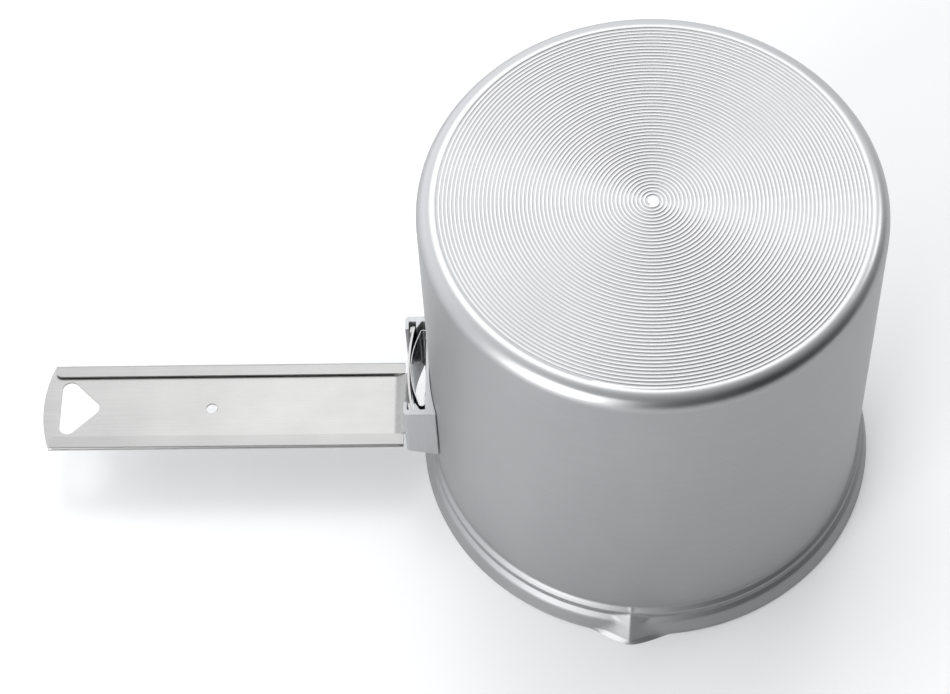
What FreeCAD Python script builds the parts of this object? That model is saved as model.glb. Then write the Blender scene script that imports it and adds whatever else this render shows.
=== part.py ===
import FreeCAD, Part
import math
import os
import re
import Sketcher
from FreeCAD import Placement, Rotation, Vector

# Candle melting pot, standing upside-down on its rim.
# Origin: the pot's axis in the plane of the rim. +Z points to the base, the handle runs along -X
# and the pouring spout is near -Y. Millimetres and degrees.

SIZES = [
    # drawn aluminium pot
    ("wall_radius", 80.0),
    ("inner_radius", 78.2),
    ("pot_height", 160.0),
    ("base_thickness", 3.0),
    ("base_corner", 5.6),
    ("inner_corner", 4.2),
    ("rim_radius", 84.5),
    ("rim_edge", 0.9),
    ("rim_band_radius", 82.7),
    ("rim_band_level", 8.6),
    ("rim_groove_radius", 81.4),
    ("rim_groove_level", 9.9),
    ("rim_bead_radius", 81.55),
    ("rim_bead_low", 11.2),
    ("rim_bead_high", 12.9),
    ("rim_bead_end", 14.2),
    ("mouth_radius", 83.0),
    ("mouth_flare_level", 9.6),
    # pouring spout, a creased beak in the rim
    ("spout_angle", -95.0),
    ("spout_reach", 88.4),
    ("spout_tip_half", 1.6),
    ("spout_root_radius", 82.0),
    ("spout_root_half", 14.5),
    ("spout_level", 14.0),
    ("spout_wall", 1.6),
    # turned rings of the base
    ("ring_pitch", 1.36),
    ("ring_depth", 0.25),
    ("ring_first_radius", 3.0),
    ("ring_last_radius", 73.9),
    # bracket, a sawn C-section
    ("bracket_low", 24.3),
    ("bracket_low_front", 28.6),
    ("bracket_top", 54.9),
    ("bracket_front", 89.5),
    ("bracket_half_width", 21.2),
    ("bracket_corner", 1.2),
    ("bracket_relief", 0.4),
    ("cavity_half_width", 18.9),
    ("seat_plane", 81.5),
    ("jaw_reach", 15.6),
    ("jaw_back", 88.1),
    ("jaw_low", 30.0),
    ("rib_reach", 16.2),
    ("rib_front", 85.5),
    ("rib_edge", 0.4),
    ("rib_back", 83.4),
    # rivets
    ("rivet_radius", 1.5),
    ("rivet_head_radius", 2.7),
    ("rivet_head_top", 1.9),
    ("rivet_head_height", 0.8),
    ("rivet_half_spacing", 7.0),
    ("rivet_level_low", 32.0),
    ("rivet_level_high", 42.0),
    # leaf spring
    ("spring_thickness", 0.35),
    ("spring_crown", 87.35),
    ("spring_bow_radius", 36.3),
    ("spring_bow_half", 13.0),
    ("spring_end_half", 16.0),
    ("spring_end_plane", 83.9),
    ("spring_hook_radius", 1.35),
    ("spring_hook_start", 15.3),
    ("spring_hook_end", 12.2),
    ("spring_low", 28.0),
    ("spring_high", 53.0),
    # handle, one hemmed sheet
    ("sheet_thickness", 0.8),
    ("grip_level", 26.0),
    ("grip_half_width", 18.3),
    ("grip_end", 225.0),
    ("grip_end_radius", 51.5),
    ("grip_near_end", 91.0),
    ("hem_reach", 13.1),
    ("hem_gap", 0.2),
    ("hem_end", 224.4),
    ("hem_corner", 2.2),
    ("bend_start", 95.2),
    ("bend_half_width", 12.9),
    ("bend_slit", 0.4),
    ("tongue_crown", 88.42),
    ("tongue_bow_radius", 90.0),
    ("tongue_top", 53.0),
    ("tongue_hem_reach", 15.1),
    ("hang_hole_outer", 221.5),
    ("hang_hole_inner", 205.4),
    ("hang_hole_half", 15.8),
    ("hang_hole_corner", 3.2),
    ("screw_hole_radius", 2.1),
    ("screw_hole_place", 164.0),
    ("screw_hole_aside", 0.7),
]

doc = FreeCAD.newDocument("melting_pot")
sheet = doc.addObject("Spreadsheet::Sheet", "Sizes")
for row, (alias, value) in enumerate(SIZES, start=1):
    sheet.set("A%d" % row, alias)
    sheet.set("B%d" % row, str(value))
    sheet.setAlias("B%d" % row, alias)
doc.recompute()


# ---- helpers -----------------------------------------------------------------------------------

def bound(text):
    """Expression with every alias (a word with an underscore) read from the sheet."""
    return re.sub(r"\b([a-z]+_[a-z_]+)\b", r"Sizes.\1", text)


def number(text):
    value = sheet.evalExpression(bound(text))
    return float(getattr(value, "Value", value))


def new_body(name):
    body = doc.addObject("PartDesign::Body", name)
    body.Label = name
    return body


def new_sketch(body, name, plane, level="0", turn=None):
    """Sketch on one of the body's own origin planes, raised along its normal and turned on it."""
    sketch = body.newObject("Sketcher::SketchObject", name)
    origin = [item for item in body.Origin.OriginFeatures if item.Role == plane][0]
    sketch.AttachmentSupport = [(origin, "")]
    sketch.MapMode = "FlatFace"
    sketch.setExpression("AttachmentOffset.Base.z", bound(level))
    if turn:
        sketch.setExpression("AttachmentOffset.Rotation.Angle", bound(turn))
    return sketch


def hold(sketch, kind, text, *where):
    index = sketch.addConstraint(Sketcher.Constraint(kind, *where, number(text)))
    sketch.setExpression("Constraints[%d]" % index, bound(text))


def pin(sketch, geometry, end, corner):
    """Fix one end of an edge at sheet-driven coordinates from the sketch's origin."""
    hold(sketch, "DistanceX", corner[0], -1, 1, geometry, end)
    hold(sketch, "DistanceY", corner[1], -1, 1, geometry, end)


def arc_edge(first, last, radius):
    """Arc about the sketch's normal. A positive radius bulges to the left of the way forward."""
    chord = last - first
    left = Vector(-chord.y, chord.x, 0).normalize()
    reach = math.sqrt(max(radius * radius - chord.Length ** 2 / 4.0, 0.0))
    centre = (first + last) * 0.5 - left * math.copysign(reach, radius)
    start, end = (last, first) if radius > 0 else (first, last)
    angles = [math.atan2(point.y - centre.y, point.x - centre.x) for point in (start, end)]
    circle = Part.Circle(centre, Vector(0, 0, 1), abs(radius))
    return Part.ArcOfCircle(circle, angles[0], angles[1])


def trace(sketch, corners, closed=True):
    """Outline through corners (across, up) with an optional radius for the edge that follows."""
    points = [Vector(number(corner[0]), number(corner[1]), 0) for corner in corners]
    count = len(corners) if closed else len(corners) - 1
    for index in range(count):
        here, there = corners[index], corners[(index + 1) % len(corners)]
        first, last = points[index], points[(index + 1) % len(corners)]
        if len(here) == 3:
            radius = number(here[2])
            edge = sketch.addGeometry(arc_edge(first, last, radius), False)
            hold(sketch, "Radius", "abs(%s)" % here[2], edge)
            ends = (2, 1) if radius > 0 else (1, 2)
        else:
            edge = sketch.addGeometry(Part.LineSegment(first, last), False)
            ends = (1, 2)
        pin(sketch, edge, ends[0], here)
        pin(sketch, edge, ends[1], there)


def circle(sketch, across, up, radius):
    centre = Vector(number(across), number(up), 0)
    edge = sketch.addGeometry(Part.Circle(centre, Vector(0, 0, 1), number(radius)), False)
    pin(sketch, edge, 3, (across, up))
    hold(sketch, "Radius", radius, edge)


def mirrored(corners):
    """The half outline given for +up, followed by its mirror image for -up."""
    lower = []
    for index in reversed(range(len(corners))):
        radius = corners[index - 1][2:] if index else ()
        lower.append((corners[index][0], "-(%s)" % corners[index][1]) + tuple(radius))
    return list(corners) + lower


def pad(body, sketch, length, symmetric=False):
    feature = body.newObject("PartDesign::Pad", sketch.Name + "_pad")
    feature.Profile = sketch
    feature.setExpression("Length", bound(length))
    feature.SideType = "Symmetric" if symmetric else "One side"
    return feature


def pocket(body, sketch, length, symmetric=False, reverse=False):
    """Cut that must take material away; it goes against the sketch's normal unless reversed."""
    doc.recompute()
    before = body.Shape.Volume
    feature = body.newObject("PartDesign::Pocket", sketch.Name + "_cut")
    feature.Profile = sketch
    feature.setExpression("Length", bound(length))
    feature.SideType = "Symmetric" if symmetric else "One side"
    feature.Reversed = reverse
    doc.recompute()
    if not body.Shape.Volume < before:
        raise RuntimeError(sketch.Name + " cuts nothing")
    return feature


def around_axis(body, kind, sketch):
    """Full turn of a sketch about the pot's axis."""
    feature = body.newObject(kind, sketch.Name + "_turn")
    feature.Profile = sketch
    feature.ReferenceAxis = (sketch, ["V_Axis"])
    feature.Angle = 360.0
    return feature


def loft(body, kind, first, second):
    feature = body.newObject(kind, first.Name + "_loft")
    feature.Profile = first
    feature.Sections = [second]
    feature.Ruled = True
    return feature


def rivet_places():
    """The four rivets: (name, across, up)."""
    for side in ("near", "far"):
        sign = "-" if side == "near" else ""
        for level in ("low", "high"):
            yield "%s_%s" % (side, level), sign + "rivet_half_spacing", "rivet_level_" + level


def rivet_holes(body, start):
    """Four holes through the part that lies just inside the plane x = -start."""
    sketch = new_sketch(body, body.Name + "_holes", "YZ_Plane", "-(%s)" % start)
    for _, across, up in rivet_places():
        circle(sketch, across, up, "rivet_radius")
    pocket(body, sketch, "%s - inner_radius + rivet_radius" % start, reverse=True)


# ---- pot ---------------------------------------------------------------------------------------

def beak_section(body, name, level, tip, tip_half, root, root_half):
    """Four-sided section of the pouring beak, level with the rim."""
    sketch = new_sketch(body, name, "XY_Plane", level, "spout_angle * 1 deg")
    trace(sketch, mirrored([(root, root_half), (tip, tip_half)]))
    return sketch


def base_rings():
    """Ring cutters of V section, one for each turn of the tool across the base."""
    pitch, depth, top = number("ring_pitch"), number("ring_depth"), number("pot_height")
    radius = number("ring_last_radius")
    rings = []
    while radius >= number("ring_first_radius"):
        corners = [Vector(radius - depth, 0, top), Vector(radius, 0, top - depth),
                   Vector(radius + depth, 0, top), Vector(radius + depth, 0, top + depth),
                   Vector(radius - depth, 0, top + depth), Vector(radius - depth, 0, top)]
        face = Part.Face(Part.makePolygon(corners))
        rings.append(face.revolve(Vector(0, 0, 0), Vector(0, 0, 1), 360))
        radius -= pitch
    cutters = doc.addObject("Part::Feature", "base_rings")
    cutters.Shape = Part.makeCompound(rings)
    return cutters


def pot_body():
    body = new_body("pot_blank")

    outside = new_sketch(body, "outside", "XZ_Plane")
    trace(outside, [
        ("0", "0"),
        ("rim_radius - rim_edge", "0", "-rim_edge"),
        ("rim_radius", "rim_edge"),
        ("rim_radius - rim_edge / 4", "rim_edge * 2"),
        ("rim_band_radius", "rim_band_level"),
        ("rim_groove_radius", "rim_groove_level"),
        ("rim_bead_radius", "rim_bead_low"),
        ("rim_bead_radius", "rim_bead_high"),
        ("wall_radius", "rim_bead_end"),
        ("wall_radius", "pot_height - base_corner", "-base_corner"),
        ("wall_radius - base_corner", "pot_height"),
        ("0", "pot_height"),
    ])
    around_axis(body, "PartDesign::Revolution", outside)

    beak = beak_section(body, "beak", "0", "spout_reach", "spout_tip_half",
                        "spout_root_radius", "spout_root_half")
    beak_top = beak_section(body, "beak_top", "spout_level", "wall_radius + 0.3", "0.3",
                            "inner_radius", "2")
    loft(body, "PartDesign::AdditiveLoft", beak, beak_top)

    inside = new_sketch(body, "inside", "XZ_Plane")
    trace(inside, [
        ("0", "0"),
        ("mouth_radius", "0"),
        ("inner_radius", "mouth_flare_level"),
        ("inner_radius", "pot_height - base_thickness - inner_corner", "-inner_corner"),
        ("inner_radius - inner_corner", "pot_height - base_thickness"),
        ("0", "pot_height - base_thickness"),
    ])
    around_axis(body, "PartDesign::Groove", inside)

    channel = beak_section(body, "channel", "0", "spout_reach - spout_wall", "spout_tip_half / 2",
                           "inner_radius", "spout_root_half")
    channel_top = beak_section(body, "channel_top", "spout_level - spout_wall", "inner_radius", "0.2",
                               "inner_radius - spout_wall", "1")
    loft(body, "PartDesign::SubtractiveLoft", channel, channel_top)
    rivet_holes(body, "wall_radius + rivet_radius")

    pot = doc.addObject("Part::Cut", "pot_body")
    pot.Base = body
    pot.Tool = base_rings()
    return pot


# ---- bracket -----------------------------------------------------------------------------------

def handle_bracket():
    """C-section along Z: a seat shaped to the wall, two sides, and jaws with ribs behind them."""
    body = new_body("handle_bracket")
    section = new_sketch(body, "section", "XY_Plane", "bracket_low")
    seat_half = "bracket_half_width - bracket_relief"
    seat_end = "-sqrt(wall_radius ^ 2 - (%s) ^ 2)" % seat_half
    outer = [
        (seat_end, seat_half),
        (seat_end + " - bracket_relief", "bracket_half_width"),
        ("-bracket_front + bracket_corner", "bracket_half_width", "bracket_corner"),
        ("-bracket_front", "bracket_half_width - bracket_corner"),
        ("-bracket_front", "jaw_reach"),
        ("-jaw_back", "jaw_reach"),
        ("-jaw_back", "cavity_half_width"),
        ("-rib_front", "cavity_half_width"),
        ("-rib_front", "rib_reach"),
        ("-rib_front + rib_edge", "rib_reach"),
        ("-rib_back", "cavity_half_width"),
        ("-seat_plane", "cavity_half_width"),
    ]
    whole = mirrored(outer)
    whole[-1] += ("wall_radius",)
    trace(section, whole)
    pad(body, section, "bracket_top - bracket_low")

    slant = new_sketch(body, "slant", "XZ_Plane")
    trace(slant, [
        ("-bracket_front", "bracket_low"),
        ("-(2 * inner_radius - seat_plane)", "bracket_low"),
        ("-bracket_front", "bracket_low_front"),
    ])
    pocket(body, slant, "2 * bracket_half_width", symmetric=True)

    lead_in = new_sketch(body, "lead_in", "XZ_Plane")
    trace(lead_in, [
        ("-bracket_front", "bracket_low"),
        ("-jaw_back", "bracket_low"),
        ("-jaw_back", "jaw_low"),
        ("-bracket_front", "jaw_low"),
    ])
    pocket(body, lead_in, "2 * cavity_half_width", symmetric=True)
    rivet_holes(body, "seat_plane + rivet_radius")
    return body


# ---- rivets ------------------------------------------------------------------------------------

def turned(kind, name, start, across, up, sizes):
    """Part primitive whose axis runs along -X from (start, across, up)."""
    piece = doc.addObject(kind, name)
    piece.Placement = Placement(Vector(), Rotation(Vector(0, 1, 0), -90))
    for axis, text in (("x", "-(%s)" % start), ("y", across), ("z", up)):
        piece.setExpression("Placement.Base." + axis, bound(text))
    for field, text in sizes.items():
        piece.setExpression(field, bound(text))
    return piece


def bracket_rivets():
    """Four rivets: a head on the bracket's seat, a shank, and a closed head inside the pot."""
    mouth = doc.addObject("Part::Cylinder", "pot_inside")
    mouth.setExpression("Radius", bound("inner_radius"))
    mouth.setExpression("Height", bound("pot_height"))
    solids = []
    for name, across, up in rivet_places():
        inner_face = "inner_radius - rivet_head_height"
        shank = turned("Part::Cylinder", "shank_" + name, inner_face, across, up, {
            "Radius": "rivet_radius", "Height": "seat_plane - inner_radius + 1.5 * rivet_head_height"})
        head = turned("Part::Cone", "head_" + name, "seat_plane", across, up, {
            "Radius1": "rivet_head_radius", "Radius2": "rivet_head_top",
            "Height": "rivet_head_height"})
        blank = turned("Part::Cone", "blank_" + name, inner_face, across, up, {
            "Radius1": "rivet_head_top", "Radius2": "rivet_head_radius",
            "Height": "rivet_head_height"})
        closed = doc.addObject("Part::MultiCommon", "closed_" + name)
        closed.Shapes = [blank, mouth]
        rivet = doc.addObject("Part::MultiFuse", "rivet_" + name)
        rivet.Shapes = [shank, head, closed]
        solids.append(rivet)
    rivets = doc.addObject("Part::Compound", "bracket_rivets")
    rivets.Links = solids
    return rivets


# ---- spring ------------------------------------------------------------------------------------

def leaf_spring():
    """Bowed strip on edge; its hooked ends lie on the bracket's seat."""
    line = doc.addObject("Sketcher::SketchObject", "spring_line")
    line.setExpression("Placement.Base.z", bound("spring_low"))
    bow_edge = "-(spring_crown - spring_bow_radius + sqrt(spring_bow_radius ^ 2 - spring_bow_half ^ 2))"
    trace(line, [
        ("-seat_plane", "-spring_hook_end"),
        ("-seat_plane", "-spring_hook_start", "spring_hook_radius"),
        ("-spring_end_plane", "-spring_end_half"),
        (bow_edge, "-spring_bow_half", "spring_bow_radius"),
        (bow_edge, "spring_bow_half"),
        ("-spring_end_plane", "spring_end_half", "spring_hook_radius"),
        ("-seat_plane", "spring_hook_start"),
        ("-seat_plane", "spring_hook_end"),
    ], closed=False)
    strip = doc.addObject("Part::Offset2D", "spring_strip")
    strip.Source = line
    strip.Mode = "Skin"
    strip.Fill = True
    strip.setExpression("Value", bound("spring_thickness"))
    spring = doc.addObject("Part::Extrusion", "leaf_spring")
    spring.Base = strip
    spring.DirMode = "Custom"
    spring.Dir = Vector(0, 0, 1)
    spring.Solid = True
    spring.setExpression("LengthFwd", bound("spring_high - spring_low"))
    return spring


# ---- handle ------------------------------------------------------------------------------------

FOLD_RADIUS = "(sheet_thickness + hem_gap / 2)"
FOLD_LINE = "(grip_half_width - sheet_thickness - hem_gap / 2)"
BEND_RADIUS = "(bend_start - tongue_crown)"


def web(body):
    """Flat of the grip, with a slot at the near end that leaves room for the bend."""
    outline = new_sketch(body, "web", "XY_Plane", "grip_level - sheet_thickness")
    trace(outline, mirrored([
        ("-bend_start", "bend_half_width + bend_slit"),
        ("-grip_near_end", "bend_half_width + bend_slit"),
        ("-grip_near_end", FOLD_LINE),
        ("-grip_end", FOLD_LINE, "-grip_end_radius"),
    ]))
    circle(outline, "-screw_hole_place", "-screw_hole_aside", "screw_hole_radius")
    pad(body, outline, "sheet_thickness")


def hang_hole(body):
    """Three-cornered hole with rounded corners at the far end."""
    outline = new_sketch(body, "hang_hole", "XY_Plane", "grip_level")
    trace(outline, [
        ("-hang_hole_inner", "0"),
        ("-hang_hole_outer", "hang_hole_half"),
        ("-hang_hole_outer", "-hang_hole_half"),
    ])
    cut = pocket(body, outline, "sheet_thickness")
    corners = []
    for index, edge in enumerate(cut.Shape.Edges, start=1):
        box = edge.BoundBox
        upright = box.XLength + box.YLength < 1e-6
        if upright and -number("hang_hole_outer") - 1 < box.XMin < -number("hang_hole_inner") + 1:
            corners.append("Edge%d" % index)
    if len(corners) != 3:
        raise RuntimeError("hang hole has %d corners" % len(corners))
    rounded = body.newObject("PartDesign::Fillet", "hang_hole_corners")
    rounded.Base = (cut, corners)
    rounded.setExpression("Radius", bound("hang_hole_corner"))


def hem(body, side, sign):
    """One long edge folded back flat over the web: a round fold and a flange with a round end."""
    opposite = "-" if sign == "" else ""
    fold = new_sketch(body, "fold_" + side, "YZ_Plane", "-hem_end")
    trace(fold, [
        (sign + FOLD_LINE, "grip_level - sheet_thickness", opposite + FOLD_RADIUS),
        (sign + "grip_half_width", "grip_level + hem_gap / 2", opposite + FOLD_RADIUS),
        (sign + FOLD_LINE, "grip_level + sheet_thickness + hem_gap"),
    ])
    pad(body, fold, "hem_end - grip_near_end")
    flange = new_sketch(body, "flange_" + side, "XY_Plane", "grip_level + hem_gap")
    trace(flange, [
        ("-grip_near_end", sign + FOLD_LINE),
        ("-hem_end", sign + FOLD_LINE),
        ("-hem_end", sign + "(hem_reach + hem_corner)", opposite + "hem_corner"),
        ("-hem_end + hem_corner", sign + "hem_reach"),
        ("-grip_near_end", sign + "hem_reach"),
    ])
    pad(body, flange, "sheet_thickness")


def bend(body):
    """Quarter turn up from the web, narrower than the jaws' opening."""
    outline = new_sketch(body, "bend", "XZ_Plane")
    top = "grip_level + " + BEND_RADIUS
    trace(outline, [
        ("-bend_start", "grip_level", "-" + BEND_RADIUS),
        ("-tongue_crown", top),
        ("-tongue_crown + sheet_thickness", top, "%s + sheet_thickness" % BEND_RADIUS),
        ("-bend_start", "grip_level - sheet_thickness"),
    ])
    pad(body, outline, "2 * bend_half_width", symmetric=True)


def bowed(crown, radius, half):
    """Place along X of a bowed face at a distance from the middle of the tongue."""
    return "-(%s - (%s) + sqrt((%s) ^ 2 - (%s) ^ 2))" % (crown, radius, radius, half)


def tongue(body):
    """Bowed plate that slides in the bracket, its two hemmed edges behind the jaws."""
    outline = new_sketch(body, "tongue", "XY_Plane", "grip_level + " + BEND_RADIUS)
    hem_crown, hem_radius = "tongue_crown + sheet_thickness", "tongue_bow_radius + sheet_thickness"
    back_crown, back_radius = "tongue_crown - sheet_thickness", "tongue_bow_radius - sheet_thickness"
    edge = "grip_half_width"
    step = "tongue_hem_reach"
    section = mirrored([
        (bowed("tongue_crown", "tongue_bow_radius", step), step),
        (bowed(hem_crown, hem_radius, step), step),
        (bowed(hem_crown, hem_radius, edge), edge),
        (bowed(back_crown, back_radius, edge), edge, "-(%s)" % back_radius),
    ])
    section[-1] += ("tongue_bow_radius",)
    trace(outline, section)
    pad(body, outline, "tongue_top - grip_level - " + BEND_RADIUS)


def handle():
    body = new_body("handle")
    web(body)
    hang_hole(body)
    hem(body, "far", "")
    hem(body, "near", "-")
    bend(body)
    tongue(body)
    return body


# ---- make, check and write ---------------------------------------------------------------------

parts = [pot_body(), handle_bracket(), bracket_rivets(), leaf_spring(), handle()]
doc.recompute()

for item in doc.Objects:
    if "Invalid" in item.State or "Error" in item.State:
        raise RuntimeError("%s failed: %s" % (item.Name, item.State))

os.makedirs("parts", exist_ok=True)
for part in parts:
    part.Label = part.Name
    if part.Shape.isNull() or not part.Shape.isValid():
        raise RuntimeError("bad shape: " + part.Label)
    part.Shape.exportStep("parts/%s.step" % part.Label)
    box = part.Shape.BoundBox
    print("%-15s %d solids %9.1f mm3  x %.1f..%.1f  y %.1f..%.1f  z %.1f..%.1f" % (
        part.Label, len(part.Shape.Solids), part.Shape.Volume,
        box.XMin, box.XMax, box.YMin, box.YMax, box.ZMin, box.ZMax))
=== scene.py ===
import math

import bmesh
import bpy
from mathutils import Matrix, Vector


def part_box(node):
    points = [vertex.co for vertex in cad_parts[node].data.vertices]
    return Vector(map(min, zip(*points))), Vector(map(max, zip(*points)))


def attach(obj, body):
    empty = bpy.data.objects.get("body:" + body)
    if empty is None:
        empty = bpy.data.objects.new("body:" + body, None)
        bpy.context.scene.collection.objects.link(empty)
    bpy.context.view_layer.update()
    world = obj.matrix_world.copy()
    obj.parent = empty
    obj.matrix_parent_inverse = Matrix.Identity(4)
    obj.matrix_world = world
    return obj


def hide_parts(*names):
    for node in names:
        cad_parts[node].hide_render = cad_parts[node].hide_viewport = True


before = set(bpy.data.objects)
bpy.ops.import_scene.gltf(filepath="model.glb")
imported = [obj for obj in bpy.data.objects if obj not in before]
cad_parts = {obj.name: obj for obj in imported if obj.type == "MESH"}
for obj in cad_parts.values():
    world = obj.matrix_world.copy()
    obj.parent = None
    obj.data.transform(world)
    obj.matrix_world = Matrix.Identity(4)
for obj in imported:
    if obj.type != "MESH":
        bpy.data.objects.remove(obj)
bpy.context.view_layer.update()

# Candle melting pot, upside-down on its rim: turned base up, handle along -X, spout near -Y.
# Sizes of the pieces are in millimetres and become metres in new_piece(); the stage is in metres.

MM = 0.001

RIM, _, HEIGHT = [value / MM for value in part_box("pot_body")[1]]
WALL = RIM - 4.5
WALL_THICKNESS = 1.8
BASE_THICKNESS = 3.0
BASE_CORNER = 5.6
WALL_RINGS = (HEIGHT - 30, HEIGHT / 2, 40, 20)

# rim and mouth: (distance out from the wall's outer or inner face, level)
RIM_PROFILE = [
    (0.0, 16.6), (0.03, 15.2), (0.2, 14.2), (0.85, 13.4), (1.55, 12.8), (1.75, 12.0), (1.55, 10.9),
    (1.4, 9.9), (1.5, 9.1), (2.1, 8.5), (2.85, 7.8), (3.3, 6.8), (3.65, 5.2), (4.0, 3.4)]
MOUTH_PROFILE = [(3.4, 3.2), (1.2, 7.4), (0.0, 11.0)]
RIM_LAST = (RIM - 0.2, 1.6)
RIM_EDGE_RADIUS = 0.9
MOUTH_FIRST = (RIM - 1.5, 0.25)

# pouring spout: a creased beak that reaches further out the lower it is
SPOUT_ANGLE = math.radians(-95.0)
SPOUT_REACH = RIM + 4.0
SPOUT_LEVEL = 14.4
SPOUT_CURVE = 0.8
SPOUT_SLOPE = 0.37
SPOUT_SPREAD = math.radians(11.0)
SPOUT_BLUNT = 0.2
SPOUT_LIP_BLUNT = 2.6
SPOUT_LIP_LEVEL = 1.6
SPOUT_BLEND = 0.3
SPOUT_LIP_BLEND = 1.2
COLUMN_STEP = 1.5
SPOUT_COLUMN_STEP = 0.3

# spiral groove of the base, wound inwards; it deepens over its first steps and ends over its last
GROOVE_PITCH = 1.36
GROOVE_DEPTH = 0.2
GROOVE_HALF_WIDTH = 0.26
GROOVE_SHOULDER = 0.45
GROOVE_CROWN = 0.012
GROOVE_START = WALL - 5.84
GROOVE_TURNS = 53
GROOVE_FADE_STEPS = 120.0
GROOVE_END_FADE_STEPS = 20.0

# bracket: a sawn extrusion, reaching from the wall to the jaws that hold the tongue
BRACKET_LOW, BRACKET_TOP = (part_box("handle_bracket")[end].z / MM for end in (0, 1))
BRACKET_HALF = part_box("handle_bracket")[1].y / MM
BRACKET_FRONT = -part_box("handle_bracket")[0].x / MM
BRACKET_GAP = 0.22
BRACKET_TOE = 28.6
BRACKET_SLANT = 0.2945
BRACKET_RELIEF = 0.4
BRACKET_CORNER = 1.2
BRACKET_BREAK = 0.18
CAVITY_HALF = BRACKET_HALF - 2.3
JAW_REACH = 15.6
JAW_BACK = BRACKET_FRONT - 1.4
JAW_LOW = 30.0
RIB_REACH = 16.2
RIB_FRONT = 85.5
RIB_EDGE = 0.4
RIB_BACK = 83.4
SEAT_PLANE = 81.5
RIVET_ASIDE = 7.0
RIVET_LEVELS = (32.0, 42.0)
RIVET_HEAD = 0.8
RIVET_RADIUS = 2.7
RIVET_SHANK = 1.5
RIVET_FLAT = 1.2
RIVET_EDGE = 2.2
CLOSED_HEAD_FLAT = 1.9
CLOSED_HEAD_SLOPE = (0.6, 2.4)

# leaf spring
SPRING_LOW, SPRING_HIGH = (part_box("leaf_spring")[end].z / MM for end in (0, 1))
SPRING_CROWN = -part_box("leaf_spring")[0].x / MM
SPRING_THICKNESS = 0.35
SPRING_RADIUS = 36.3
SPRING_BOW_HALF = 13.0
SPRING_END_HALF = 16.0
SPRING_HOOK_TOP = 83.9
SPRING_HOOK_RADIUS = 1.35
SPRING_HOOK_START = 15.3
SPRING_HOOK_END = 12.2
SPRING_BREAK = 0.08

# handle: one sheet, hemmed along both edges and bent up into the tongue
SHEET = 0.8
SHEET_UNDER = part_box("handle")[0].z / MM
TONGUE_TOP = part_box("handle")[1].z / MM
GRIP_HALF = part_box("handle")[1].y / MM
GRIP_END = 225.0
GRIP_END_RADIUS = 51.5
GRIP_NEAR_END = 91.0
HEM_REACH = 13.1
HEM_GAP = 0.2
HEM_RISE = 0.3
HEM_END = 224.4
HEM_CORNER = 2.2
BEND_START = 95.2
BEND_RADIUS = 6.78
BEND_HALF = 12.9
BEND_SLIT = 0.4
WEB_COLUMNS = (16.0, 14.6, BEND_HALF + BEND_SLIT, BEND_HALF, 11.5, 9.5, 7.0, 4.5, 2.0)
TONGUE_BOW_RADIUS = 89.6
TONGUE_GAP = 0.08
TONGUE_HEM_REACH = 15.1
TONGUE_HEM_COLUMN = 16.2
TONGUE_WEB_COLUMN = 14.0
HANG_INNER = 205.4
HANG_OUTER = 221.5
HANG_HALF = 15.8
HANG_CORNER = 3.2
SMALL_HOLE_PLACE = 164.0
SMALL_HOLE_ASIDE = 0.7
SMALL_HOLE_RADIUS = 2.1
GRIP_BREAK = 0.1
WELD_DISTANCE = 0.01
CUT_PAST = 1.0

# where the finish of a metal changes: up the pot to its tooled base, whose colour is also painted
# lighter there as painted light, along the handle to its bend
TOOLED_AND_PAINTED_LIGHT_LEVELS = (154.5, 159.5)
TURNED_UP_PLACES = (-94.5, -91.5)

# stage, in metres and degrees; lamps are (name, place, aim, size, watts)
FLOOR_SIZE = 6.0
WORLD_COLOUR = (0.96, 0.975, 1.0, 1)  # the surroundings grow brighter along WORLD_LEAN
WORLD_LEVEL = 0.82
WORLD_DARKEST = 0.05
WORLD_LEAN = (-0.62, 0.75, 0.0)
LAMPS = [
    ("overhead", (0.0, 0.95, 1.75), (0, 0, 0), (1.2, 0.9), 6.5),
    ("key", (-1.0, -1.4, 1.15), (0, 0, 0.05), (1.1, 0.9), 13),
    ("low_key", (-1.1, -1.45, 0.4), (0, 0, 0.05), (1.1, 0.55), 13),
    ("back_right", (1.3, 0.9, 1.5), (0, 0, 0), (0.5, 0.5), 3),
]
CAMERA_PLACE = (-0.02799, -0.53956, 0.94773)
CAMERA_PAN, CAMERA_TILT, CAMERA_ROLL = -3.705, 58.45, -3.806
CAMERA_LENS = 107.3


# ---- mesh helpers ------------------------------------------------------------------------------

def new_piece(name, points, faces, material, body, node):
    """Mesh piece from millimetre points that rides on a body and stands for a CAD node."""
    mesh = bpy.data.meshes.new(name)
    mesh.from_pydata([(x * MM, y * MM, z * MM) for x, y, z in points], [], faces)
    mesh.materials.append(material)
    face_outward(mesh)
    piece = bpy.data.objects.new(name, mesh)
    bpy.context.scene.collection.objects.link(piece)
    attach(piece, body)
    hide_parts(node)
    return piece


def face_outward(mesh):
    """Smooth-shaded faces whose normals all point out of the closed shape."""
    shape = bmesh.new()
    shape.from_mesh(mesh)
    bmesh.ops.recalc_face_normals(shape, faces=shape.faces)
    for face in shape.faces:
        face.smooth = True
    shape.to_mesh(mesh)
    shape.free()


def weld(piece):
    """Points that lie together made one."""
    shape = bmesh.new()
    shape.from_mesh(piece.data)
    bmesh.ops.remove_doubles(shape, verts=shape.verts, dist=WELD_DISTANCE * MM)
    shape.to_mesh(piece.data)
    shape.free()
    face_outward(piece.data)


def arc(centre, radius, start, end, steps):
    """Points (radius, level) along an arc; angles in degrees."""
    points = []
    for index in range(steps + 1):
        angle = math.radians(start + (end - start) * index / steps)
        points.append((centre[0] + radius * math.cos(angle),
                       centre[1] + radius * math.sin(angle)))
    return points


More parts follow.
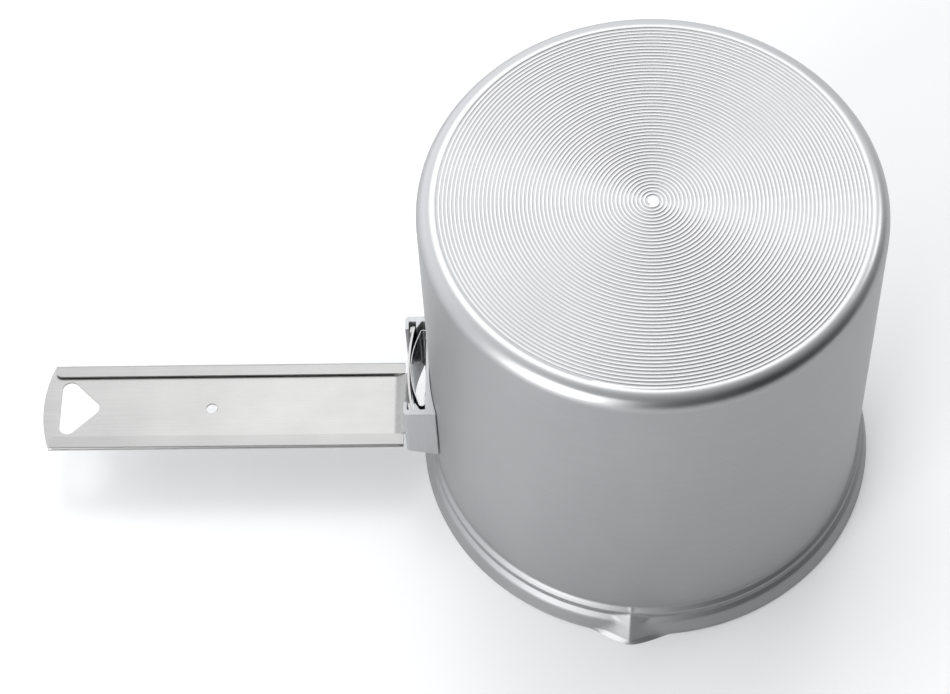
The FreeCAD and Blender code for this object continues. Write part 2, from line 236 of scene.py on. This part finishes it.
def smooth_line(points, steps):
    """Catmull-Rom curve through the points."""
    ends = [points[0]] + list(points) + [points[-1]]
    line = []
    for a, b, c, d in zip(ends, ends[1:], ends[2:], ends[3:]):
        for index in range(steps):
            t = index / steps
            line.append(tuple(
                0.5 * (2 * q + (r - p) * t + (2 * p - 5 * q + 4 * r - s) * t ** 2
                       + (3 * q - p - 3 * r + s) * t ** 3)
                for p, q, r, s in zip(a, b, c, d)))
    line.append(tuple(points[-1]))
    return line


# ---- pot ---------------------------------------------------------------------------------------

def columns():
    """Angles round the pot, closer together at the spout."""
    start = math.degrees(SPOUT_ANGLE - SPOUT_SPREAD)
    spread = 2 * math.degrees(SPOUT_SPREAD)
    near = [start + SPOUT_COLUMN_STEP * index for index in range(round(spread / SPOUT_COLUMN_STEP))]
    rest = round((360 - spread) / COLUMN_STEP)
    far = [start + spread + (360 - spread) * index / rest for index in range(rest)]
    return [math.radians(angle) for angle in near + far]


def outer_profile():
    """From the base's edge down the wall to the rim."""
    corner = arc((WALL - BASE_CORNER, HEIGHT - BASE_CORNER), BASE_CORNER, 90, 0, 12)
    wall = [(WALL, level) for level in WALL_RINGS]
    rim = smooth_line([(WALL + out, level) for out, level in RIM_PROFILE] + [RIM_LAST], 4)
    edge = arc((RIM - RIM_EDGE_RADIUS, RIM_EDGE_RADIUS), RIM_EDGE_RADIUS, 25, -90, 8)
    return corner + wall + rim + edge


def inner_profile():
    """From the rim up the inside to the base's inner face."""
    inside = WALL - WALL_THICKNESS
    radius = BASE_CORNER - WALL_THICKNESS
    mouth = smooth_line([MOUTH_FIRST] + [(inside + out, level) for out, level in MOUTH_PROFILE], 4)
    wall = [(inside, level) for level in (SPOUT_LEVEL,) + WALL_RINGS[::-1]]
    corner = arc((inside - radius, HEIGHT - BASE_THICKNESS - radius), radius, 0, 90, 8)
    base = [(share * inside, HEIGHT - BASE_THICKNESS) for share in (0.8, 0.5, 0.2, 0.05)]
    return mouth + wall + corner + base


def soft_max(a, b, blend):
    """The larger of two values, with the change from one to the other rounded."""
    share = max(0.0, 1.0 - abs(a - b) / blend)
    return max(a, b) + share * share * blend / 4


def with_spout(radius, level, angle, inset):
    """Radius of the shell with the creased beak pressed out of it."""
    if level > SPOUT_LEVEL:
        return radius
    aside = abs(angle - SPOUT_ANGLE) * RIM
    drop = (SPOUT_LEVEL - level) / SPOUT_LEVEL
    crease = WALL + (SPOUT_REACH - WALL) * drop ** SPOUT_CURVE - inset
    blunt = SPOUT_BLUNT + SPOUT_LIP_BLUNT * max(0.0, 1 - level / SPOUT_LIP_LEVEL)
    beak = crease - SPOUT_SLOPE * (math.hypot(aside, blunt) - blunt)
    return soft_max(radius, beak, SPOUT_BLEND + SPOUT_LIP_BLEND * drop)


def groove_section():
    """One pitch of the base: (distance in from the turn's outer edge, drop below the base)."""
    land = GROOVE_PITCH - 2 * GROOVE_HALF_WIDTH
    return [
        (0.0, 0.0),
        (GROOVE_HALF_WIDTH * GROOVE_SHOULDER, GROOVE_SHOULDER * GROOVE_DEPTH),
        (GROOVE_HALF_WIDTH, GROOVE_DEPTH),
        (GROOVE_HALF_WIDTH * (2 - GROOVE_SHOULDER), GROOVE_SHOULDER * GROOVE_DEPTH),
        (GROOVE_HALF_WIDTH * 2, 0.0),
        (GROOVE_HALF_WIDTH * 2 + land / 2, -GROOVE_CROWN),
    ]


def polar(radius, angle, level):
    """Point at an angle round the pot's axis."""
    return (radius * math.cos(angle), radius * math.sin(angle), level)


def spiral_points(angles, points):
    """Points across the groove at every step of its way in; gives their numbers step by step."""
    section = groove_section()
    count = len(angles)
    total = GROOVE_TURNS * count
    steps = []
    for step in range(total + count + 1):
        turn, column = divmod(step, count)
        swept = turn + ((angles[column] - angles[0]) % (2 * math.pi)) / (2 * math.pi)
        edge = GROOVE_START - GROOVE_PITCH * swept
        fade = min(1.0, step / GROOVE_FADE_STEPS, (total - step) / GROOVE_END_FADE_STEPS)
        across = section if step <= total else section[:1]
        first = len(points)
        for inward, drop in across:
            points.append(polar(edge - inward, angles[column], HEIGHT - drop * max(0.0, fade)))
        steps.append(list(range(first, len(points))))
    return steps


def spiral_base(angles, rim_ring, points, faces):
    """Turned base: one groove wound from the edge to the centre, joined to the ring round it."""
    count = len(angles)
    total = GROOVE_TURNS * count
    steps = spiral_points(angles, points)
    strips = [steps[step] + steps[step + count][:1] for step in range(total + 1)]
    for here, after in zip(strips, strips[1:]):
        for place in range(len(here) - 1):
            faces.append((here[place], here[place + 1], after[place + 1], after[place]))
    for column in range(count - 1):
        faces.append((rim_ring + column, strips[column][0], strips[column + 1][0],
                      rim_ring + column + 1))
    faces.append([rim_ring + count - 1, strips[count - 1][0]] + strips[0][::-1] + [rim_ring])

    centre = len(points)
    points.append((0.0, 0.0, HEIGHT))
    innermost = [step[0] for step in steps[total + 1:]]
    for here, after in zip(innermost, innermost[1:]):
        faces.append((here, centre, after))
    faces.append(strips[total] + [centre, innermost[0]])


def pot_shell(material):
    """Wall, flared rim with its spout, inside and turned base as one closed shell."""
    angles = columns()
    count = len(angles)
    outer, inner = outer_profile(), inner_profile()
    points, faces = [], []
    for index, (radius, level) in enumerate(outer + inner):
        inset = WALL_THICKNESS if index >= len(outer) else 0.0
        for angle in angles:
            points.append(polar(with_spout(radius, level, angle, inset), angle, level))
    for row in range(len(outer) + len(inner) - 1):
        for column in range(count):
            after = (column + 1) % count
            faces.append((row * count + column, (row + 1) * count + column,
                          (row + 1) * count + after, row * count + after))
    last = (len(outer) + len(inner) - 1) * count
    centre = len(points)
    points.append((0.0, 0.0, HEIGHT - BASE_THICKNESS))
    for column in range(count):
        faces.append((last + column, centre, last + (column + 1) % count))
    spiral_base(angles, 0, points, faces)
    new_piece("pot_shell", points, faces, material, "pot", "pot_body")


# ---- bracket, rivets and spring ----------------------------------------------------------------

def bulge(first, last, radius, steps=8):
    """Arc points between two plan points; a positive radius bulges to the left of the way."""
    first, last = Vector(first), Vector(last)
    chord = last - first
    left = Vector((-chord.y, chord.x)).normalized()
    rise = math.sqrt(max(radius * radius - chord.length_squared / 4, 0.0))
    centre = (first + last) / 2 - left * math.copysign(rise, radius)
    start = math.atan2(first.y - centre.y, first.x - centre.x)
    end = math.atan2(last.y - centre.y, last.x - centre.x)
    sweep_angle = (end - start + math.pi) % (2 * math.pi) - math.pi
    return [(centre.x + abs(radius) * math.cos(start + sweep_angle * index / steps),
             centre.y + abs(radius) * math.sin(start + sweep_angle * index / steps))
            for index in range(steps + 1)]


def prism(outline, low, high):
    """Closed prism over a plan outline; low is a level or a function of the plan point."""
    count = len(outline)
    floor_level = low if callable(low) else (lambda x, y: low)
    points = [(x, y, floor_level(x, y)) for x, y in outline] + [(x, y, high) for x, y in outline]
    faces = [(index, (index + 1) % count, (index + 1) % count + count, index + count)
             for index in range(count)]
    return points, faces + [tuple(range(count))[::-1], tuple(range(count, 2 * count))]


def both_sides(half):
    """A half outline given for +Y followed by its mirror image."""
    return half + [(x, -y) for x, y in reversed(half)]


def cut_with(piece, points, faces):
    """Take a closed shape out of a piece."""
    mesh = bpy.data.meshes.new("cutter")
    mesh.from_pydata([(x * MM, y * MM, z * MM) for x, y, z in points], [], faces)
    cutter = bpy.data.objects.new("cutter", mesh)
    bpy.context.scene.collection.objects.link(cutter)
    face_outward(mesh)
    cut = piece.modifiers.new("cut", "BOOLEAN")
    cut.operation = "DIFFERENCE"
    cut.solver = "EXACT"
    cut.object = cutter
    settle(piece)
    bpy.data.objects.remove(cutter)


def settle(piece):
    """Apply every modifier that the piece has."""
    graph = bpy.context.evaluated_depsgraph_get()
    mesh = bpy.data.meshes.new_from_object(piece.evaluated_get(graph))
    piece.modifiers.clear()
    piece.data = mesh


def break_edges(piece, width):
    """Sharp edges broken by a small round, with the flats kept flat."""
    bevel = piece.modifiers.new("broken_edges", "BEVEL")
    bevel.width = width * MM
    bevel.segments = 2
    bevel.limit_method = "ANGLE"
    bevel.angle_limit = math.radians(40)
    flats = piece.modifiers.new("flats", "WEIGHTED_NORMAL")
    flats.weight = 100
    flats.keep_sharp = False


def bracket(material):
    """Sawn C-section: seat against the wall, sides, ribs and jaws; lower end cut on a slant."""
    half = BRACKET_HALF
    seat_half = half - BRACKET_RELIEF
    wall = WALL + BRACKET_GAP
    seat = -math.sqrt(wall ** 2 - seat_half ** 2)
    corner = bulge((-BRACKET_FRONT + BRACKET_CORNER, half), (-BRACKET_FRONT, half - BRACKET_CORNER),
                   -BRACKET_CORNER)
    inner = CAVITY_HALF
    outline = both_sides(
        [(seat, seat_half), (seat - BRACKET_RELIEF, half)] + corner
        + [(-BRACKET_FRONT, JAW_REACH), (-JAW_BACK, JAW_REACH), (-JAW_BACK, inner),
           (-RIB_FRONT, inner), (-RIB_FRONT, RIB_REACH), (-RIB_FRONT + RIB_EDGE, RIB_REACH),
           (-RIB_BACK, inner), (-SEAT_PLANE, inner)])
    outline += bulge((seat, -seat_half), (seat, seat_half), wall, 24)[1:-1]

    def slant(x, y):
        return BRACKET_TOE - (x + BRACKET_FRONT) * BRACKET_SLANT

    points, faces = prism(outline, slant, BRACKET_TOP)
    piece = new_piece("bracket", points, faces, material, "pot",
                      "handle_bracket")
    front, back = -BRACKET_FRONT - CUT_PAST, -JAW_BACK + CUT_PAST
    gate = [(front, -inner), (back, -inner), (back, inner), (front, inner)]
    cut_with(piece, *prism(gate, BRACKET_LOW - CUT_PAST, JAW_LOW))
    break_edges(piece, BRACKET_BREAK)


def rivets(material):
    """Four rivets: head on the bracket's seat, shank, and closed head inside the pot."""
    inside = WALL - WALL_THICKNESS - 0.1
    slope_back, slope_radius = CLOSED_HEAD_SLOPE
    rounded = arc((SEAT_PLANE + RIVET_HEAD / 2, RIVET_EDGE), RIVET_HEAD / 2, 90, 0, 4)
    profile = [(inside - RIVET_HEAD, CLOSED_HEAD_FLAT), (inside - slope_back, slope_radius),
               (inside, RIVET_RADIUS), (inside, RIVET_SHANK), (SEAT_PLANE, RIVET_SHANK),
               (SEAT_PLANE, RIVET_RADIUS)] + rounded + [(SEAT_PLANE + RIVET_HEAD, RIVET_FLAT)]
    points, faces = [], []
    for across in (-RIVET_ASIDE, RIVET_ASIDE):
        for level in RIVET_LEVELS:
            turn_on_x(profile, across, level, points, faces)
    new_piece("rivets", points, faces, material, "pot", "bracket_rivets")


def turn_on_x(profile, across, level, points, faces, count=32):
    """Closed lathe about an axis along -X, with a flat disc at each end of the profile."""
    first = len(points)
    for reach, radius in profile:
        for index in range(count):
            angle = 2 * math.pi * index / count
            points.append((-reach, across + radius * math.cos(angle),
                           level + radius * math.sin(angle)))
    for row in range(len(profile) - 1):
        for index in range(count):
            here = first + row * count + index
            after = first + row * count + (index + 1) % count
            faces.append((here, after, after + count, here + count))
    for start in (first, first + (len(profile) - 1) * count):
        faces.append(tuple(start + index for index in range(count)))


def spring(material):
    """Bowed strip on edge with its ends hooked back onto the bracket's seat."""
    bow = -(SPRING_CROWN - SPRING_RADIUS + math.sqrt(SPRING_RADIUS ** 2 - SPRING_BOW_HALF ** 2))
    hook = bulge((-SPRING_HOOK_TOP, SPRING_END_HALF), (-SEAT_PLANE, SPRING_HOOK_START),
                 SPRING_HOOK_RADIUS, 10)
    half_bow = bulge((bow, -SPRING_BOW_HALF), (bow, SPRING_BOW_HALF), SPRING_RADIUS, 40)
    lower = [(x, -y) for x, y in reversed(hook)]
    path = [(-SEAT_PLANE, -SPRING_HOOK_END)] + lower + half_bow + hook
    path.append((-SEAT_PLANE, SPRING_HOOK_END))
    back = []
    for before, here, after in zip([path[0]] + path, path, path[1:] + [path[-1]]):
        way = (Vector(after) - Vector(before)).normalized()
        back.append((here[0] + way.y * SPRING_THICKNESS, here[1] - way.x * SPRING_THICKNESS))
    points, faces = prism(path + back[::-1], SPRING_LOW, SPRING_HIGH)
    piece = new_piece("spring", points, faces, material, "pot", "leaf_spring")
    break_edges(piece, SPRING_BREAK)


# ---- handle ------------------------------------------------------------------------------------

def grip_columns():
    """Middle of the sheet across the grip: (across, level, where its far end is along X)."""
    web = SHEET_UNDER + SHEET / 2
    flange = web + SHEET + HEM_GAP
    fold = (flange - web) / 2
    line = GRIP_HALF - SHEET / 2 - fold
    half = []
    for angle in range(90, -1, -15):
        swing = math.radians(angle)
        across = HEM_REACH + HEM_CORNER - HEM_CORNER * math.sin(swing)
        rise = HEM_RISE * (line - across) / (line - HEM_REACH)
        half.append((across, flange + rise, -HEM_END + HEM_CORNER - HEM_CORNER * math.cos(swing)))
    for index in range(13):
        swing = math.radians(90 - 15 * index)
        half.append((line + fold * math.cos(swing), web + fold + fold * math.sin(swing),
                     -HEM_END - (GRIP_END - HEM_END) * index / 12))
    reach = math.sqrt(GRIP_END_RADIUS ** 2 - line ** 2)
    for across in WEB_COLUMNS:
        half.append((across, web,
                     -GRIP_END + reach - math.sqrt(GRIP_END_RADIUS ** 2 - across ** 2)))
    middle = [(0.0, web, -GRIP_END + reach - GRIP_END_RADIUS)]
    return half + middle + [(-y, z, x) for y, z, x in reversed(half)]


def tongue_columns(bend_columns):
    """Middle of the sheet across the tongue: (across, step forward of the plate)."""
    fold = SHEET / 2 + TONGUE_GAP / 2
    line = GRIP_HALF - SHEET / 2 - fold
    half = [(TONGUE_HEM_REACH, 2 * fold), (TONGUE_HEM_COLUMN, 2 * fold)]
    for index in range(9):
        swing = math.radians(90 - 22.5 * index)
        half.append((line + fold * math.cos(swing), fold + fold * math.sin(swing)))
    half += [(across, 0.0) for across in (TONGUE_HEM_COLUMN, TONGUE_HEM_REACH, TONGUE_WEB_COLUMN)]
    middle = [(across, 0.0) for across in bend_columns]
    return half + middle + [(-y, step) for y, step in reversed(half)]


def bow(across):
    """How far the bowed plate falls back towards the pot away from its middle."""
    return TONGUE_BOW_RADIUS - math.sqrt(TONGUE_BOW_RADIUS ** 2 - across ** 2)


def patch(rows, points, faces):
    """Grid of quads through rows of points."""
    first, width = len(points), len(rows[0])
    for row in rows:
        points.extend(row)
    for row in range(len(rows) - 1):
        for column in range(width - 1):
            here = first + row * width + column
            faces.append((here, here + 1, here + 1 + width, here + width))


def sheet_surface():
    """Middle surface of the folded and bent sheet, as patches whose edges meet."""
    columns_across = grip_columns()
    points, faces = [], []
    shares = [0, 0.01, 0.03, 0.06] + [index / 12 for index in range(1, 13)]
    patch([[(end + (-BEND_START - end) * share, across, level)
            for across, level, end in columns_across] for share in shares], points, faces)
    web = SHEET_UNDER + SHEET / 2
    inner = [item for item in columns_across if item[1] == web and abs(item[0]) <= BEND_HALF + 0.01]
    edge = [index for index, item in enumerate(columns_across) if item in inner]
    ends = (-BEND_START, -(BEND_START + GRIP_NEAR_END) / 2, -GRIP_NEAR_END)
    for side in (columns_across[:edge[0]], columns_across[edge[-1] + 1:]):
        patch([[(x, across, level) for across, level, _ in side] for x in ends], points, faces)

    radius = BEND_RADIUS + SHEET / 2
    top = SHEET_UNDER + SHEET + BEND_RADIUS
    rows = []
    for index in range(13):
        swing = math.radians(7.5 * index)
        share = math.sin(swing) ** 2
        rows.append([(-BEND_START + radius * math.sin(swing) + share * bow(across), across,
                      top - radius * math.cos(swing)) for across, _, _ in inner])
    patch(rows, points, faces)

    face = -BEND_START + radius
    section = tongue_columns([across for across, _, _ in inner])
    patch([[(face + bow(across) - step, across, level) for across, step in section]
           for level in (top, top + 2, (top + TONGUE_TOP) / 2, TONGUE_TOP - 2, TONGUE_TOP)],
          points, faces)
    return points, faces


def rounded_triangle(inner, outer, half, radius):
    """Triangle with its point at x = inner and round corners, anticlockwise in plan."""
    corners = [Vector((inner, 0)), Vector((outer, half)), Vector((outer, -half))]
    outline = []
    for before, here, after in zip(corners[-1:] + corners, corners, corners[1:] + corners[:1]):
        to_before, to_after = (before - here).normalized(), (after - here).normalized()
        angle = to_before.angle(to_after) / 2
        bisector = (to_before + to_after).normalized()
        centre = here + bisector * radius / math.sin(angle)
        start = here + to_before * radius / math.tan(angle) - centre
        end = here + to_after * radius / math.tan(angle) - centre
        turn = start.angle_signed(end)
        first = math.atan2(start.y, start.x)
        for index in range(10):
            swing = first - turn * index / 9
            outline.append((centre.x + radius * math.cos(swing),
                            centre.y + radius * math.sin(swing)))
    return outline


def grip(material):
    """Handle: one hemmed sheet, bent up into the tongue, with its hanging hole and small hole."""
    points, faces = sheet_surface()
    piece = new_piece("grip", points, faces, material, "handle", "handle")
    weld(piece)
    solid = piece.modifiers.new("sheet", "SOLIDIFY")
    solid.thickness = SHEET * MM
    solid.offset = 0.0
    solid.use_even_offset = True
    settle(piece)
    low, high = SHEET_UNDER - CUT_PAST, SHEET_UNDER + SHEET + HEM_GAP / 2
    triangle = rounded_triangle(-HANG_INNER, -HANG_OUTER, HANG_HALF, HANG_CORNER)
    cut_with(piece, *prism(triangle, low, high))
    ring = [(-SMALL_HOLE_PLACE + SMALL_HOLE_RADIUS * math.cos(math.radians(angle)),
             -SMALL_HOLE_ASIDE + SMALL_HOLE_RADIUS * math.sin(math.radians(angle)))
            for angle in range(0, 360, 10)]
    cut_with(piece, *prism(ring, low, high))
    weld(piece)
    break_edges(piece, GRIP_BREAK)


# ---- materials ---------------------------------------------------------------------------------

class Nodes:
    """Small helper for building one metal's node tree."""

    def __init__(self, name, metallic, colour, roughness):
        self.material = bpy.data.materials.new(name)
        self.material.use_nodes = True
        self.tree = self.material.node_tree
        self.shader = self.tree.nodes["Principled BSDF"]
        self.shader.inputs["Metallic"].default_value = metallic
        self.shader.inputs["Base Color"].default_value = (*colour, 1)
        self.shader.inputs["Roughness"].default_value = roughness
        self.place = self.add("ShaderNodeTexCoord").outputs["Object"]

    def add(self, kind, **settings):
        node = self.tree.nodes.new(kind)
        for key, value in settings.items():
            setattr(node, key, value)
        return node

    def link(self, start, end):
        self.tree.links.new(start, end)

    def noise(self, scale, detail=4.0, roughness=0.6):
        """Noise stretched by a different scale (per metre) along each axis."""
        mapping = self.add("ShaderNodeMapping")
        mapping.inputs["Scale"].default_value = scale
        self.link(self.place, mapping.inputs["Vector"])
        noise = self.add("ShaderNodeTexNoise")
        noise.inputs["Scale"].default_value = 1.0
        noise.inputs["Detail"].default_value = detail
        noise.inputs["Roughness"].default_value = roughness
        self.link(mapping.outputs["Vector"], noise.inputs["Vector"])
        return noise.outputs["Fac"]

    def math(self, operation, first, second):
        node = self.add("ShaderNodeMath", operation=operation)
        for socket, value in zip(node.inputs, (first, second)):
            if isinstance(value, (int, float)):
                socket.default_value = value
            else:
                self.link(value, socket)
        return node.outputs[0]

    def spread(self, value, low, high):
        """Noise values around a half mapped to low..high."""
        node = self.add("ShaderNodeMapRange")
        node.inputs["From Min"].default_value = 0.3
        node.inputs["From Max"].default_value = 0.7
        node.inputs["To Min"].default_value = low
        node.inputs["To Max"].default_value = high
        self.link(value, node.inputs["Value"])
        return node.outputs["Result"]

    def mix(self, share, first, second):
        node = self.add("ShaderNodeMix", data_type="FLOAT")
        self.link(share, node.inputs[0])
        self.link(first, node.inputs[2])
        self.link(second, node.inputs[3])
        return node.outputs[0]

    def tint(self, value, tones):
        """Base colour from a list of (value, colour)."""
        ramp = self.add("ShaderNodeValToRGB")
        stops = ramp.color_ramp.elements
        for position, colour in tones[1:-1]:
            stops.new(position).color = (*colour, 1)
        for stop, (position, colour) in ((stops[0], tones[0]), (stops[-1], tones[-1])):
            stop.position = position
            stop.color = (*colour, 1)
        self.link(value, ramp.inputs["Fac"])
        self.link(ramp.outputs["Color"], self.shader.inputs["Base Color"])

    def blend(self, first, second, share):
        """Weighted sum of two values; the share is the second's."""
        return self.math("ADD", self.math("MULTIPLY", first, 1 - share),
                         self.math("MULTIPLY", second, share))

    def rough(self, value, low, high):
        self.link(self.spread(value, low, high), self.shader.inputs["Roughness"])

    def past(self, axis, places):
        """Nought before the first place on an axis, one past the second."""
        split = self.add("ShaderNodeSeparateXYZ")
        self.link(self.place, split.inputs[0])
        node = self.add("ShaderNodeMapRange")
        for name, place in zip(("From Min", "From Max"), places):
            node.inputs[name].default_value = place * MM
        self.link(split.outputs[axis], node.inputs["Value"])
        return node.outputs["Result"]

    def bump(self, height, strength, distance):
        """Relief of the surface, at most the given millimetres deep."""
        node = self.add("ShaderNodeBump")
        node.inputs["Strength"].default_value = strength
        node.inputs["Distance"].default_value = distance * MM
        self.link(height, node.inputs["Height"])
        self.link(node.outputs["Normal"], self.shader.inputs["Normal"])


def pot_metal():
    """Drawn aluminium: satin lines round the wall and a smoother turned base, with the base painted
    brighter as painted light and the wall painted darker as painted shade.
    """
    metal = Nodes("drawn_aluminium", 1.0, (0.45, 0.45, 0.46), 0.42)
    on_base = metal.past(2, TOOLED_AND_PAINTED_LIGHT_LEVELS)
    lines = metal.noise((9, 9, 1400), 5.0)
    cloud = metal.noise((26, 26, 14), 3.0)
    grain = metal.noise((2600, 2600, 2600), 2.0)
    shade = metal.blend(lines, cloud, 0.65)
    wall_streaks_in_painted_shade = metal.spread(shade, 0.0, 0.4)
    base_streaks_in_painted_light = metal.spread(shade, 0.6, 1.0)
    # painted light and shade: the wall's tones are painted darker and the base's lighter; the
    # streaks and clouds within each are the metal's own
    metal.tint(metal.mix(on_base, wall_streaks_in_painted_shade, base_streaks_in_painted_light), [
        (0.0, (0.34, 0.34, 0.349)), (0.4, (0.38, 0.38, 0.388)),
        (0.6, (0.42, 0.42, 0.425)), (1.0, (0.47, 0.47, 0.472))])
    wall_rough = metal.spread(cloud, 0.48, 0.54)
    base_rough = metal.spread(cloud, 0.28, 0.33)
    metal.link(metal.mix(on_base, wall_rough, base_rough), metal.shader.inputs["Roughness"])
    metal.bump(metal.math("ADD", lines, metal.math("MULTIPLY", grain, 0.5)), 0.25, 0.02)
    return metal.material


def bracket_metal():
    """Extruded aluminium with faint die lines along it and a tumbled skin."""
    metal = Nodes("extruded_aluminium", 1.0, (0.74, 0.74, 0.75), 0.34)
    lines = metal.noise((1500, 1500, 12), 4.0)
    grain = metal.noise((1800, 1800, 1800), 3.0)
    metal.tint(lines, [(0.3, (0.47, 0.475, 0.485)), (0.7, (0.5, 0.505, 0.515))])
    metal.rough(grain, 0.46, 0.58)
    metal.bump(metal.math("ADD", lines, grain), 0.3, 0.02)
    return metal.material


def rivet_metal():
    """Soft aluminium wire, bright where the rivet's head was formed."""
    metal = Nodes("rivet_aluminium", 1.0, (0.7, 0.7, 0.71), 0.3)
    grain = metal.noise((900, 900, 900), 3.0)
    metal.tint(grain, [(0.3, (0.62, 0.62, 0.63)), (0.7, (0.74, 0.74, 0.75))])
    metal.rough(grain, 0.26, 0.4)
    metal.bump(grain, 0.2, 0.03)
    return metal.material


def spring_metal():
    """Hardened strip: bright-polished, with rolling lines along it, its colour painted dark as
    painted shade for the bracket's cavity.
    """
    metal = Nodes("spring_steel", 1.0, (0.62, 0.62, 0.63), 0.12)
    lines = metal.noise((40, 40, 2600), 4.0)
    # painted shade: the strip's tones are set dark for the shade it lies in inside the bracket; the
    # lines along it are its own
    metal.tint(lines, [(0.3, (0.25, 0.25, 0.255)), (0.7, (0.32, 0.32, 0.33))])
    metal.rough(lines, 0.08, 0.18)
    metal.bump(lines, 0.15, 0.01)
    return metal.material


def handle_metal():
    """Stainless strip brushed along its length, which turns up with the tongue."""
    metal = Nodes("brushed_stainless", 1.0, (0.7, 0.69, 0.68), 0.3)
    turned_up = metal.past(0, TURNED_UP_PLACES)
    fine = metal.mix(turned_up, metal.noise((22, 2400, 2400), 6.0),
                     metal.noise((2400, 2400, 22), 6.0))
    coarse = metal.mix(turned_up, metal.noise((6, 520, 520), 3.0),
                       metal.noise((520, 520, 6), 3.0))
    cloud = metal.noise((40, 60, 60), 3.0)
    brush = metal.blend(fine, coarse, 0.4)
    shade = metal.blend(brush, cloud, 0.25)
    metal.tint(shade, [(0.3, (0.265, 0.262, 0.258)), (0.7, (0.375, 0.371, 0.365))])
    metal.rough(brush, 0.24, 0.38)
    metal.bump(brush, 0.3, 0.02)
    return metal.material


def floor_surface():
    """White sweep with a trace of gloss."""
    floor = Nodes("white_sweep", 0.0, (0.9, 0.9, 0.9), 0.35)
    cloud = floor.noise((3, 3, 3), 2.0)
    floor.tint(cloud, [(0.3, (0.93, 0.93, 0.93)), (0.7, (0.94, 0.94, 0.94))])
    floor.rough(cloud, 0.2, 0.24)
    floor.shader.inputs["Specular IOR Level"].default_value = 0.25
    return floor.material


# ---- stage -------------------------------------------------------------------------------------

def sweep():
    """Plain floor under the pot."""
    half = FLOOR_SIZE / 2
    mesh = bpy.data.meshes.new("floor")
    mesh.from_pydata([(-half, -half, 0), (half, -half, 0), (half, half, 0), (-half, half, 0)],
                     [], [(0, 1, 2, 3)])
    mesh.materials.append(floor_surface())
    floor = bpy.data.objects.new("floor", mesh)
    bpy.context.scene.collection.objects.link(floor)


def lamp(name, place, aim, size, power):
    """Rectangular soft box at place, turned to its aim."""
    light = bpy.data.lights.new(name, "AREA")
    light.shape = "RECTANGLE"
    light.size, light.size_y = size
    light.energy = power
    holder = bpy.data.objects.new(name, light)
    holder.location = place
    direction = Vector(aim) - Vector(place)
    holder.rotation_euler = direction.to_track_quat("-Z", "Y").to_euler()
    bpy.context.scene.collection.objects.link(holder)


def studio_walls():
    """Soft surroundings: brightest behind and to the left, darkest to the right and in front."""
    world = bpy.data.worlds.new("studio")
    world.use_nodes = True
    nodes = world.node_tree.nodes
    link = world.node_tree.links.new
    lean = nodes.new("ShaderNodeVectorMath")
    lean.operation = "DOT_PRODUCT"
    lean.inputs[1].default_value = WORLD_LEAN
    level = nodes.new("ShaderNodeMath")
    level.operation = "ADD"
    level.inputs[1].default_value = WORLD_LEVEL
    strength = nodes.new("ShaderNodeMath")
    strength.operation = "MAXIMUM"
    strength.inputs[1].default_value = WORLD_DARKEST
    background = nodes["Background"]
    background.inputs["Color"].default_value = WORLD_COLOUR
    link(nodes.new("ShaderNodeTexCoord").outputs["Generated"], lean.inputs[0])
    link(lean.outputs["Value"], level.inputs[0])
    link(level.outputs[0], strength.inputs[0])
    link(strength.outputs[0], background.inputs["Strength"])
    bpy.context.scene.world = world


def studio():
    """Surroundings and soft boxes."""
    studio_walls()
    for name, place, aim, size, power in LAMPS:
        lamp(name, place, aim, size, power)


def camera():
    """Long lens above the front, a little to the left and slightly rolled."""
    pan, tilt, roll = (math.radians(angle) for angle in (CAMERA_PAN, CAMERA_TILT, CAMERA_ROLL))
    forward = Vector((math.sin(pan) * math.cos(tilt), math.cos(pan) * math.cos(tilt),
                      -math.sin(tilt)))
    right = forward.cross(Vector((0, 0, 1))).normalized()
    up = right.cross(forward)
    across = right * math.cos(roll) + up * math.sin(roll)
    above = up * math.cos(roll) - right * math.sin(roll)
    lens = bpy.data.cameras.new("camera")
    lens.sensor_width = 36.0
    lens.lens = CAMERA_LENS
    lens.clip_start, lens.clip_end = 0.05, 20.0
    view = bpy.data.objects.new("camera", lens)
    turn = Matrix((across, above, -forward)).transposed().to_4x4()
    view.matrix_world = Matrix.Translation(CAMERA_PLACE) @ turn
    bpy.context.scene.collection.objects.link(view)
    bpy.context.scene.camera = view


def build():
    """Camera, light, floor and the five pieces."""
    camera()
    studio()
    sweep()
    bpy.context.scene.view_settings.view_transform = "Standard"
    pot_shell(pot_metal())
    bracket(bracket_metal())
    rivets(rivet_metal())
    spring(spring_metal())
    grip(handle_metal())


build()
